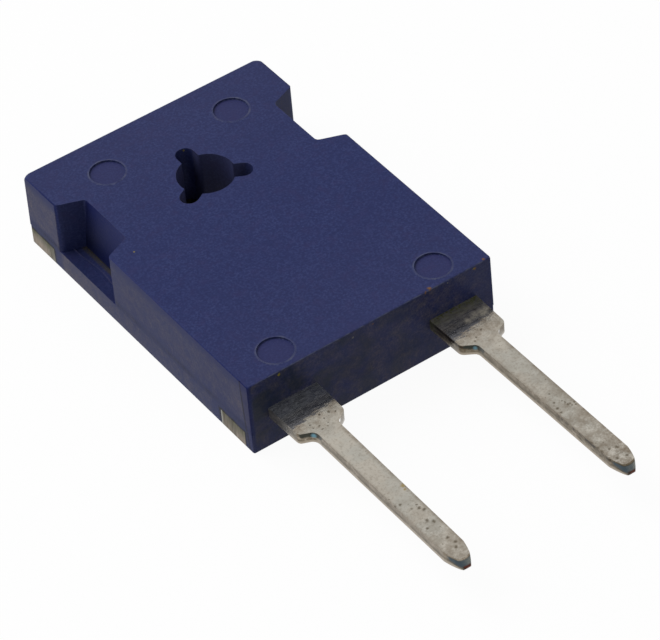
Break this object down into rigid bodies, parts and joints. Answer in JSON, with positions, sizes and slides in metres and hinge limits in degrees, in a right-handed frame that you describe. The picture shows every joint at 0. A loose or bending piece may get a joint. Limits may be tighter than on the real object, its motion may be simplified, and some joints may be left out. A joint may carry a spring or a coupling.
{
  "type": "power film resistor",
  "caption": "Flat moulded power resistor with a metal base plate, a screw hole with three hold-down slots, side clip notches and flat leads.",
  "frame": {"origin": "axis of the mounting hole at the flat mounting face", "axes": "+Z away from the mounting face, through the body; +Y along the body from the leads to the head end; +X across the body"},
  "size_m": [0.0158, 0.037, 0.0049],
  "materials": {
    "epoxy": "moulded navy blue epoxy with a fine satin grain",
    "base_metal": "nickel plated copper, warm grey, sheared at the ears",
    "lead_metal": "tin plated copper, warm silver, pitted and stained",
    "alumina": "white alumina",
    "print_silver": "fired silver print",
    "resistive_ink": "fired ruthenium oxide film, black",
    "overglaze": "fired green glass coat",
    "solder": "grey solder"
  },
  "bodies": {
    "root": {"moulded_body": "epoxy", "base_plate": "base_metal", "substrate_bond": "solder", "ceramic_substrate": "alumina", "terminal_pad_left": "print_silver", "terminal_pad_right": "print_silver", "resistive_film": "resistive_ink", "glass_coat": "overglaze", "solder_joint_left": "solder", "solder_joint_right": "solder", "lead_left": "lead_metal", "lead_right": "lead_metal"}
  },
  "joints": []
}
